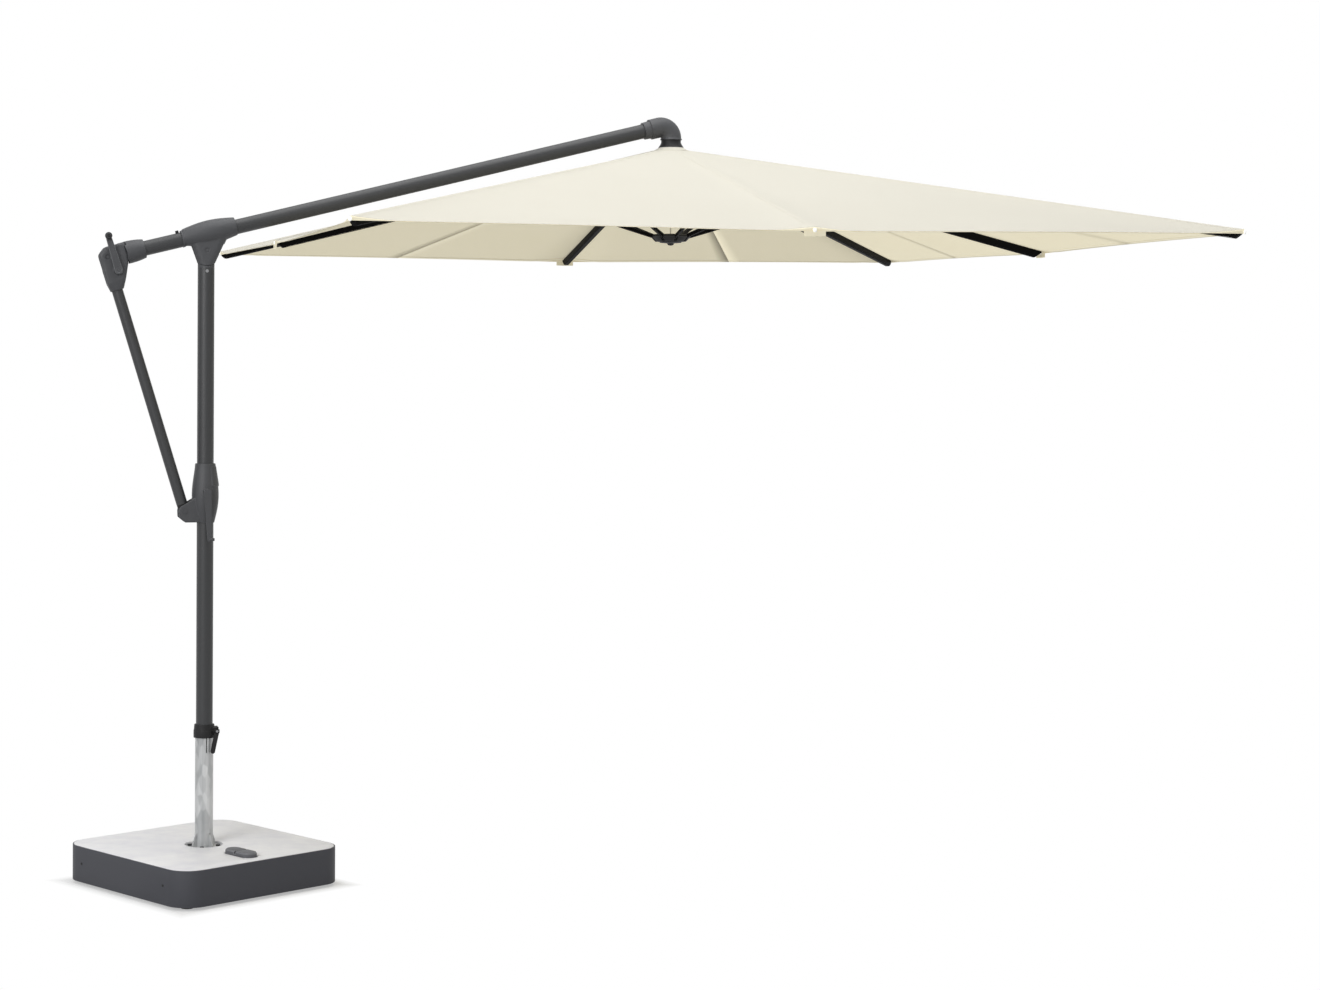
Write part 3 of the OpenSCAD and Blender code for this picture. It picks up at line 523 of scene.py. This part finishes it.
def softenDome(piece):
    # the strut head's back is a dome, rounder than its other edges
    pivot = middleOf("rear_pin")
    shell = bmesh.new()
    shell.from_mesh(piece.data)
    back = [spot for spot in shell.verts if spot.co.x < pivot.x + headDome["right"]
            and spot.co.z > pivot.z - headDome["below"]
            and math.hypot(spot.co.x - pivot.x, spot.co.z - pivot.z) > headDome["pinClear"]]
    for step in range(headDome["passes"]):
        bmesh.ops.smooth_vert(shell, verts=back, factor=softenFactor,
                              use_axis_x=True, use_axis_y=True, use_axis_z=True)
    shell.to_mesh(piece.data)
    shell.free()


rounded("mast_head", "castCoat", 0.0008)
castGrain = {"fine": 0.0010, "coarse": 0.0014}
cast("slider_casing", "castCoat", castGrain["coarse"], 6)
cast("lock_lever", "castCoat", castGrain["fine"], 6)
cast("tee_housing", "castCoat", castGrain["coarse"], 14)
cast("rear_housing", "castCoat", castGrain["coarse"], 6, fillRearMouth)
softenDome(cast("strut_head", "castCoat", castGrain["coarse"], 16))
rounded("crank_arm", "castCoat", 0.0022)
rounded("crank_knob", "mouldedBlack", 0.0012, 12)
print("mast, slider and carrier dressed")

# arm and crown

crownEdges = {
    "roll_stop": ("mouldedBlack", 0.0010), "crown_elbow": ("castCoat", 0.0009),
    "crown_hub": ("mouldedBlack", 0.0010), "neck_collar": ("mouldedBlack", 0.0012),
    "runner": ("mouldedBlack", 0.0010), "runner_cap": ("mouldedBlack", 0.0012),
}
for node, (finish, width) in crownEdges.items():
    rounded(node, finish, width)
print("arm and crown dressed")

# canopy cloth: eight panels, each sewn to its rib and half way to the next ones

crownLow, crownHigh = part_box("rib_pins")
clothLow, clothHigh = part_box("canopy")
canopy = {
    "crown": Vector(((crownLow.x + crownHigh.x) / 2, (crownLow.y + crownHigh.y) / 2, 0)),
    "halfSide": (clothHigh.x - clothLow.x) / 2,
    "peak": clothHigh.z,
    "cornerHeight": 2.088,
    "middleDrop": 0.012,
    "collarRadius": 0.0425,
    "shoulderRadius": 0.070,
    "shoulderDrop": 0.012,
    "shoulderShare": 0.05,
    "scallop": 0.014,
    "scallopLift": 0.2,
    "droop": 0.013,
    "droopWidth": 0.12,
    "standOff": 0.0022,
    "standRate": 5.0,
    "ribInset": 0.001,
    "ribEdge": 0.0020,
    "stayEdge": 0.0007,
    # a fixed painted glow for the hanging border and tabs
    "hangPaintedGlow": 0.3,
    "hangSteep": 0.5,
    "tabHalf": 0.033,
    "tabHang": 0.027,
    "buttonDrop": 0.009,
    "button": (0.0035, 0.0062, 0.0062),
    # the daylight aim that the painted glow of the flat cloth follows
    "daylight": Vector((0.62, -0.12, 0.62)),
    "thickness": 0.0011,
    "hem": 0.020,
    "seam": 0.013,
    "stitch": 0.0042,
    "stitchShare": 0.78,
    "thread": 0.0005,
    "cornerFold": 0.045,
    "middleFold": 0.06,
}


def dressRibs():
    reach = canopy["halfSide"] - canopy["ribInset"]
    edges = [(canopy["crown"] + way * reach, way)
             for way in (Vector((1, 0, 0)), Vector((-1, 0, 0)), Vector((0, 1, 0)), Vector((0, -1, 0)))]
    for name in ribNames:
        rounded("rib_" + name, "ribCoat", canopy["ribEdge"], trim=edges)
        rounded("stay_" + name, "ribCoat", canopy["stayEdge"])


dressRibs()
print("ribs and stays dressed")


def newTree(name, inputs):
    tree = bpy.data.node_groups.new(name, "GeometryNodeTree")
    for label, kind in inputs.items():
        tree.interface.new_socket(label, in_out="INPUT", socket_type="NodeSocket" + kind)
    tree.interface.new_socket("Geometry", in_out="OUTPUT", socket_type="NodeSocketGeometry")
    bench = Bench(tree)
    given = {label: bench.place("NodeGroupInput", out=label) for label in inputs}
    return tree, bench, given


def endTree(bench, shape, material):
    whole = bench.place("GeometryNodeRealizeInstances", sockets={0: shape})
    coated = bench.place("GeometryNodeSetMaterial", sockets={"Geometry": whole, "Material": material})
    last = bench.tree.nodes.new("NodeGroupOutput")
    bench.tree.links.new(coated.socket, last.inputs["Geometry"])


def clothTree():
    # a patch of one panel: columns run across the rib line, rows run out along it
    tree, bench, given = newTree("clothPatch", {
        "Geometry": "Geometry", "Columns": "Int", "Rows": "Int", "Start": "Float", "End": "Float",
        "Half Width": "Float", "Offset": "Float", "Lift": "Float", "Bearing": "Float", "Crown": "Vector",
        "Tip Radius": "Float", "Tip Height": "Float", "Next Radius": "Float", "Next Height": "Float",
        "Peak": "Float", "Collar": "Float", "Shoulder": "Float", "Shoulder Drop": "Float",
        "Shoulder Share": "Float", "Scallop": "Float", "Droop": "Float", "Droop Width": "Float",
        "Fold": "Float", "Hang": "Float", "Stand Off": "Float", "Material": "Material"})
    grid = bench.place("GeometryNodeMeshGrid", sockets={
        "Size X": 2.0, "Size Y": 1.0, "Vertices X": given["Columns"], "Vertices Y": given["Rows"]})
    spot = bench.place("GeometryNodeInputPosition")
    side = bench.place("ShaderNodeSeparateXYZ", sockets={0: spot}, out="X")
    step = bench.place("ShaderNodeSeparateXYZ", sockets={0: spot}, out="Y") + 0.5
    whole = given["Start"] + (given["End"] - given["Start"]) * step
    along = whole.least(1.0)
    over = (whole - 1.0).most(0.0) * given["Fold"]
    inner = (along / given["Shoulder Share"]).least(1.0)
    outer = ((along - given["Shoulder Share"]) / (1.0 - given["Shoulder Share"])).most(0.0)
    low = given["Peak"] - given["Shoulder Drop"]

    def reach(tip):
        return given["Collar"] + (given["Shoulder"] - given["Collar"]) * inner + (tip - given["Shoulder"]) * outer

    def height(tip):
        return given["Peak"] - given["Shoulder Drop"] * inner * (2.0 - inner) + (tip - low) * outer

    nextOut = reach(given["Next Radius"]) * math.cos(math.radians(45))
    spread = side * side.size() ** 0.5 * given["Half Width"].least(nextOut * 0.5)
    y = (spread + given["Offset"]).least(nextOut * 0.5).most(nextOut * -0.5)
    share = y.size() / nextOut
    fall = ((share / given["Droop Width"]).least(1.0) * (math.pi / 2)).sine() * given["Droop"] * outer
    edge = over * (given["Hang"] - fall)
    aside = (over * canopy["standRate"]).least(1.0) * given["Stand Off"]
    x = reach(given["Tip Radius"]) * (1.0 - share) + nextOut * share + aside
    z = height(given["Tip Height"]) * (1.0 - share) + height(given["Next Height"]) * share
    pull = given["Scallop"] * 4.0 * share * (1.0 - share) * outer * outer
    draw = 1.0 - pull / (x * x + y * y) ** 0.5
    local = bench.place("ShaderNodeCombineXYZ", sockets={
        "X": x * draw, "Y": y * draw, "Z": z + pull * canopy["scallopLift"] - fall - edge + given["Lift"]})
    turned = bench.place("ShaderNodeVectorRotate", {"rotation_type": "Z_AXIS"}, {
        "Vector": local, "Angle": given["Bearing"]})
    placed = bench.place("ShaderNodeVectorMath", {"operation": "ADD"}, {0: turned, 1: given["Crown"]})
    flat = bench.place("ShaderNodeCombineXYZ", sockets={"X": y, "Y": x})
    mapped = bench.place("GeometryNodeStoreNamedAttribute", {"data_type": "FLOAT2", "domain": "CORNER"}, {
        "Geometry": grid, "Name": "UVMap", "Value": flat})
    shaped = bench.place("GeometryNodeSetPosition", sockets={"Geometry": mapped, "Position": placed})
    upward = bench.place("GeometryNodeFlipFaces", sockets={"Mesh": shaped})
    endTree(bench, upward, given["Material"])
    return tree


def stitchTree():
    # short threads laid end to end along the lines of a wire mesh
    tree, bench, given = newTree("stitchRow", {
        "Geometry": "Geometry", "Pitch": "Float", "Thread": "Float", "Material": "Material"})
    line = bench.place("GeometryNodeMeshToCurve", sockets={"Mesh": given["Geometry"]})
    points = bench.place("GeometryNodeResampleCurve", {"mode": "LENGTH"}, {"Curve": line, "Length": given["Pitch"]})
    knot = bench.place("GeometryNodeMeshIcoSphere", sockets={"Radius": 0.5, "Subdivisions": 1})
    aim = bench.place("FunctionNodeAlignRotationToVector", {"axis": "X"}, {
        "Vector": bench.place("GeometryNodeInputTangent")})
    size = bench.place("ShaderNodeCombineXYZ", sockets={
        "X": given["Pitch"] * canopy["stitchShare"], "Y": given["Thread"], "Z": given["Thread"]})
    sewn = bench.place("GeometryNodeInstanceOnPoints", sockets={
        "Points": points, "Instance": knot, "Rotation": aim, "Scale": size})
    endTree(bench, sewn, given["Material"])
    return tree


def buttonTree():
    # a low round cap on the end of a rib
    tree, bench, given = newTree("snapButton", {
        "Geometry": "Geometry", "Place": "Vector", "Turn": "Vector", "Size": "Vector", "Material": "Material"})
    dome = bench.place("GeometryNodeMeshUVSphere", sockets={"Segments": 32, "Rings": 16, "Radius": 1.0})
    placed = bench.place("GeometryNodeTransform", sockets={
        "Geometry": dome, "Translation": given["Place"], "Rotation": given["Turn"], "Scale": given["Size"]})
    endTree(bench, placed, given["Material"])
    return tree


clothPatch = clothTree()
stitchRow = stitchTree()
snapButton = buttonTree()


def tipOf(index):
    corner = index % 2 == 1
    reach = canopy["halfSide"] * (math.sqrt(2) if corner else 1.0)
    return reach, canopy["cornerHeight"] - (0.0 if corner else canopy["middleDrop"])


def patch(name, index, finish, columns, rows, start=0.0, end=1.0, half=9.0, offset=0.0, lift=0.0, hang=0.0):
    # with a hang, the patch goes on past the edge as a strip that is folded down
    tipRadius, tipHeight = tipOf(index)
    nextRadius, nextHeight = tipOf(index + 1)
    return grow(name, clothPatch, {
        "Columns": columns, "Rows": rows, "Start": start, "End": end + (1.0 if hang else 0.0),
        "Fold": 1.0 if hang else 0.0, "Hang": hang, "Stand Off": canopy["standOff"],
        "Half Width": half, "Offset": offset, "Lift": lift, "Bearing": math.radians(45 * index),
        "Crown": canopy["crown"],
        "Tip Radius": tipRadius, "Tip Height": tipHeight, "Next Radius": nextRadius, "Next Height": nextHeight,
        "Peak": canopy["peak"], "Collar": canopy["collarRadius"], "Shoulder": canopy["shoulderRadius"],
        "Shoulder Drop": canopy["shoulderDrop"], "Shoulder Share": canopy["shoulderShare"],
        "Scallop": canopy["scallop"], "Droop": canopy["droop"], "Droop Width": canopy["droopWidth"],
        "Material": finishes[finish]})


def thicken(piece, thickness, under=None):
    if under:
        piece.data.materials.append(finishes[under])
    wall = piece.modifiers.new("wall", "SOLIDIFY")
    wall.thickness = thickness
    wall.offset = -1
    wall.material_offset = 1 if under else 0
    wall.use_even_offset = True
    return settle(piece, creaseAngle["sewn"])


def paintedThroughGlow(piece):
    # painted glow: how much daylight passes each part of the cloth, from the way it faces, which the cloth's
    # emission shows
    mesh = piece.data
    glow = mesh.attributes.new("glow", "FLOAT", "POINT")
    for vert, value in zip(mesh.vertices, glow.data):
        upright = vert.normal if vert.normal.z > 0 else -vert.normal
        flat = upright.z > canopy["hangSteep"]
        lit = upright.dot(canopy["daylight"]) if flat else canopy["hangPaintedGlow"]
        value.value = min(1.0, max(0.0, lit))


def joined(name, parts):
    # several meshes as one piece, each keeping its material
    shell = bmesh.new()
    finishesUsed = []
    for part in parts:
        first = len(shell.faces)
        shell.from_mesh(part.data)
        shell.faces.ensure_lookup_table()
        for face in shell.faces[first:]:
            used = part.data.materials[face.material_index]
            if used not in finishesUsed:
                finishesUsed.append(used)
            face.material_index = finishesUsed.index(used)
        bpy.data.objects.remove(part)
    mesh = bpy.data.meshes.new(name)
    shell.to_mesh(mesh)
    shell.free()
    for used in finishesUsed:
        mesh.materials.append(used)
    mesh.shade_smooth()
    mesh.set_sharp_from_angle(angle=math.radians(creaseAngle["sewn"]))
    return newPiece(name, mesh)


sewing = {
    "columns": 41, "rows": 61, "fine": 121, "seamFrom": 0.06, "seamTo": 0.997, "rowTo": 0.995,
    "hemLift": 0.0004, "hemThick": 0.0019, "seamLift": 0.0003, "seamThick": 0.0006,
    "borderThick": 0.0008, "tabThick": 0.0009, "rowInset": 0.002, "rowBack": 0.003,
    "hemRowLift": 0.0006, "seamRowLift": 0.0008,
}


def sewPanel(index):
    name = ribNames[index]
    body = "rib_" + name
    tipRadius, tipHeight = tipOf(index)
    length = tipRadius - canopy["collarRadius"]
    bearing = math.radians(45 * index)
    hemStart = 1.0 - canopy["hem"] / length
    columns, rows, fine = sewing["columns"], sewing["rows"], sewing["fine"]
    cloth = patch("cloth_" + name, index, "clothTop", columns, rows)
    thicken(cloth, canopy["thickness"], "clothUnder")
    paintedThroughGlow(cloth)
    hem = thicken(patch("hem", index, "clothTop", columns, 3, hemStart, 1.0, lift=sewing["hemLift"]),
                  sewing["hemThick"], "clothUnder")
    seam = thicken(patch("seam", index, "clothTop", 3, rows, sewing["seamFrom"], sewing["seamTo"], canopy["seam"],
                         lift=sewing["seamLift"]), sewing["seamThick"])
    folded = [thicken(patch("border", index, "clothUnder", fine, 7, 1.0, hang=canopy["droop"]),
                      sewing["borderThick"])]
    if index % 2 == 0:
        folded.append(thicken(patch("tab", index, "clothUnder", 9, 13, 1.0, half=canopy["tabHalf"],
                                    hang=canopy["tabHang"]), sewing["tabThick"]))
    lines = [patch("row", index, "hemThread", fine, 1, hemStart + inset / length, 1.0, lift=sewing["hemRowLift"])
             for inset in (sewing["rowInset"], canopy["hem"] - sewing["rowBack"])]
    for side in (-1, 1):
        lines.append(patch("row", index, "hemThread", 1, fine, sewing["seamFrom"], sewing["rowTo"], 0.0,
                           side * (canopy["seam"] - sewing["rowBack"]), sewing["seamRowLift"]))
    threads = [grow("thread", stitchRow, {
        "Pitch": canopy["stitch"], "Thread": canopy["thread"], "Material": finishes["hemThread"]}, line.data)
        for line in lines]
    for line in lines:
        bpy.data.objects.remove(line)
    trim = joined("sewing_" + name, [hem, seam] + folded + threads)
    paintedThroughGlow(trim)
    stand(cloth, "clothTop", "canopy", body=body)
    stand(trim, "clothTop", body=body)
    for piece in (cloth, trim):
        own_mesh(piece)
    outward = Vector((math.cos(bearing), math.sin(bearing), 0))
    button = grow("button_" + name, snapButton, {
        "Place": canopy["crown"] + outward * (tipRadius + canopy["standOff"])
        + Vector((0, 0, tipHeight - canopy["buttonDrop"])),
        "Turn": (0, 0, bearing), "Size": canopy["button"], "Material": finishes["capWhite"]})
    stand(button, "capWhite", body=body)


for index in range(8):
    sewPanel(index)
print("canopy sewn")

# round crown patch under the collar, where the eight panels meet

crownPatch = {"inner": 0.024, "outer": 0.069, "lift": 0.0006, "thickness": 0.0016, "around": 96, "rings": 8}


def sewCrownPatch():
    shell = bmesh.new()
    rings = []
    reach = crownPatch["outer"] - crownPatch["inner"]
    for step in range(crownPatch["rings"] + 1):
        radius = crownPatch["inner"] + reach * step / crownPatch["rings"]
        out = max(0.0, radius - canopy["collarRadius"]) / (canopy["shoulderRadius"] - canopy["collarRadius"])
        height = canopy["peak"] + crownPatch["lift"] - canopy["shoulderDrop"] * out * (2.0 - out)
        rings.append([shell.verts.new(canopy["crown"] + Vector((
            radius * math.cos(2 * math.pi * k / crownPatch["around"]),
            radius * math.sin(2 * math.pi * k / crownPatch["around"]), height)))
            for k in range(crownPatch["around"])])
    place = shell.loops.layers.uv.new("UVMap")
    for inner, outer in zip(rings, rings[1:]):
        for k in range(crownPatch["around"]):
            after = (k + 1) % crownPatch["around"]
            face = shell.faces.new((inner[k], outer[k], outer[after], inner[after]))
            for loop in face.loops:
                loop[place].uv = loop.vert.co.xy
    mesh = bpy.data.meshes.new("cloth_crown")
    shell.to_mesh(mesh)
    shell.free()
    piece = newPiece("cloth_crown", mesh, "clothTop")
    thicken(piece, crownPatch["thickness"], "clothUnder")
    stand(piece, "clothTop", "canopy", body="arm")


sewCrownPatch()

# lift cord from the hub down to the runner, which it pulls

liftCord = {"diameter": 0.004, "points": 24, "sides": 12, "pathSteps": 20}


def layLiftCord():
    low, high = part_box("lift_cord")
    middle = (low + high) / 2
    shell = bmesh.new()
    rings = []
    for step in range(liftCord["points"] + 1):
        height = low.z + (high.z - low.z) * step / liftCord["points"]
        rings.append([shell.verts.new((
            middle.x + liftCord["diameter"] / 2 * math.cos(2 * math.pi * k / liftCord["sides"]),
            middle.y + liftCord["diameter"] / 2 * math.sin(2 * math.pi * k / liftCord["sides"]), height))
            for k in range(liftCord["sides"])])
    for inner, outer in zip(rings, rings[1:]):
        for k in range(liftCord["sides"]):
            after = (k + 1) % liftCord["sides"]
            shell.faces.new((inner[k], inner[after], outer[after], outer[k]))
    shell.faces.new(list(reversed(rings[0])))
    shell.faces.new(rings[-1])
    mesh = bpy.data.meshes.new("lift_cord_braid")
    shell.to_mesh(mesh)
    shell.free()
    mesh.shade_smooth()
    mesh.set_sharp_from_angle(angle=math.radians(creaseAngle["cord"]))
    piece = newPiece("lift_cord_braid", mesh, "liftCord")
    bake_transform(piece)
    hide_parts("lift_cord")


layLiftCord()
print("crown patch and lift cord laid")

# studio: pale floor, white surround, soft lamps

studio = {
    "surround": 0.37,
    "floorHalf": 40.0,
    "floorSeen": "f6f6f6",
    "floorBounce": "a8a8a8",
    "baseTurn": 30.0,
    "clearFrom": 0.322,
    "clearTo": 0.37,
    "nearWhite": 0.42,
    "overhead": {"place": (1.1, -0.8, 6.4), "aim": (1.4, 0.0, 1.0), "size": 5.0, "power": 190.0},
    "window": {"place": (-8.5, -9.5, 6.6), "aim": (0.2, 0.0, 1.2), "size": 5.4, "power": 520.0},
    "side": {"place": (-3.6, -5.2, 2.6), "aim": (0.0, 0.0, 0.1), "size": 2.0, "power": 72.0},
}


def hangLamp(name, lamp):
    light = bpy.data.lights.new(name, "AREA")
    light.size = lamp["size"]
    light.energy = lamp["power"]
    holder = bpy.data.objects.new(name, light)
    bpy.context.scene.collection.objects.link(holder)
    holder.location = lamp["place"]
    holder.rotation_euler = (Vector(lamp["aim"]) - Vector(lamp["place"])).to_track_quat("-Z", "Y").to_euler()


def lookRays(bench):
    # 1 for the rays that see the background itself or its reflection
    seen = bench.place("ShaderNodeLightPath", out="Is Camera Ray")
    for kind in ("Is Glossy Ray", "Is Transmission Ray"):
        seen = seen.most(bench.place("ShaderNodeLightPath", out=kind))
    return seen


def layFloor():
    mesh = bpy.data.meshes.new("floor")
    half = studio["floorHalf"]
    mesh.from_pydata([(-half, -half, 0), (half, -half, 0), (half, half, 0), (-half, half, 0)], [], [(0, 1, 2, 3)])
    floor = newPiece("floor", mesh)
    paper = Finish("floorPaper", Roughness=0.95, Specular_IOR_Level=0.1)
    mesh.materials.append(paper.material)
    eye = paper.place("ShaderNodeLightPath", out="Is Camera Ray")
    paper.feed("Base Color", paper.mix(eye, ink(studio["floorBounce"]), ink(studio["floorSeen"])))
    spot = paper.spot(turn=math.radians(-studio["baseTurn"]))
    reach = paper.place("ShaderNodeSeparateXYZ", sockets={0: spot}, out="X").size().most(
        paper.place("ShaderNodeSeparateXYZ", sockets={0: spot}, out="Y").size())
    fade = ((reach - studio["clearFrom"]) / (studio["clearTo"] - studio["clearFrom"])).most(0.0).least(1.0)
    share = (studio["nearWhite"] + (1.0 - studio["nearWhite"]) * fade) * lookRays(paper)
    glow = paper.place("ShaderNodeEmission", sockets={"Color": (1, 1, 1, 1), "Strength": 1.0})
    blend = paper.place("ShaderNodeMixShader", sockets={
        0: share, 1: Wire(paper, paper.skin.outputs[0]), 2: glow})
    paper.tree.links.new(blend.socket, paper.tree.nodes["Material Output"].inputs["Surface"])


def lightSurround():
    world = bpy.data.worlds.new("surround")
    bpy.context.scene.world = world
    world.use_nodes = True
    bench = Bench(world.node_tree)
    seen = lookRays(bench)
    back = bench.tree.nodes["Background"]
    back.inputs["Color"].default_value = (1, 1, 1, 1)
    bench.tree.links.new((studio["surround"] + (1.0 - studio["surround"]) * seen).socket, back.inputs["Strength"])


layFloor()
lightSurround()
for lampName in ("overhead", "window", "side"):
    hangLamp(lampName, studio[lampName])

# camera where the photograph was taken from

viewpoint = {"place": (-1.0331, -8.1422, 1.7269), "yaw": 12.1159, "pitch": -0.0931, "roll": 0.2347,
             "lens": 69.128, "sensor": 36, "shift": (0.18, -0.108), "far": 200}


def setCamera():
    yaw, pitch, roll = (math.radians(viewpoint[key]) for key in ("yaw", "pitch", "roll"))
    ahead = Vector((math.sin(yaw) * math.cos(pitch), math.cos(yaw) * math.cos(pitch), math.sin(pitch)))
    right = Vector((math.cos(yaw), -math.sin(yaw), 0))
    up = right.cross(ahead)
    right, up = right * math.cos(roll) + up * math.sin(roll), up * math.cos(roll) - right * math.sin(roll)
    lens = bpy.data.cameras.new("viewpoint")
    lens.lens = viewpoint["lens"]
    lens.sensor_width = viewpoint["sensor"]
    lens.sensor_fit = "HORIZONTAL"
    lens.shift_x, lens.shift_y = viewpoint["shift"]
    lens.clip_end = viewpoint["far"]
    camera = bpy.data.objects.new("viewpoint", lens)
    bpy.context.scene.collection.objects.link(camera)
    turn = Matrix((right, up, -ahead)).transposed().to_4x4()
    camera.matrix_world = Matrix.Translation(viewpoint["place"]) @ turn
    bpy.context.scene.camera = camera


setCamera()
bpy.context.scene.view_settings.view_transform = "Standard"
print("studio and camera set")
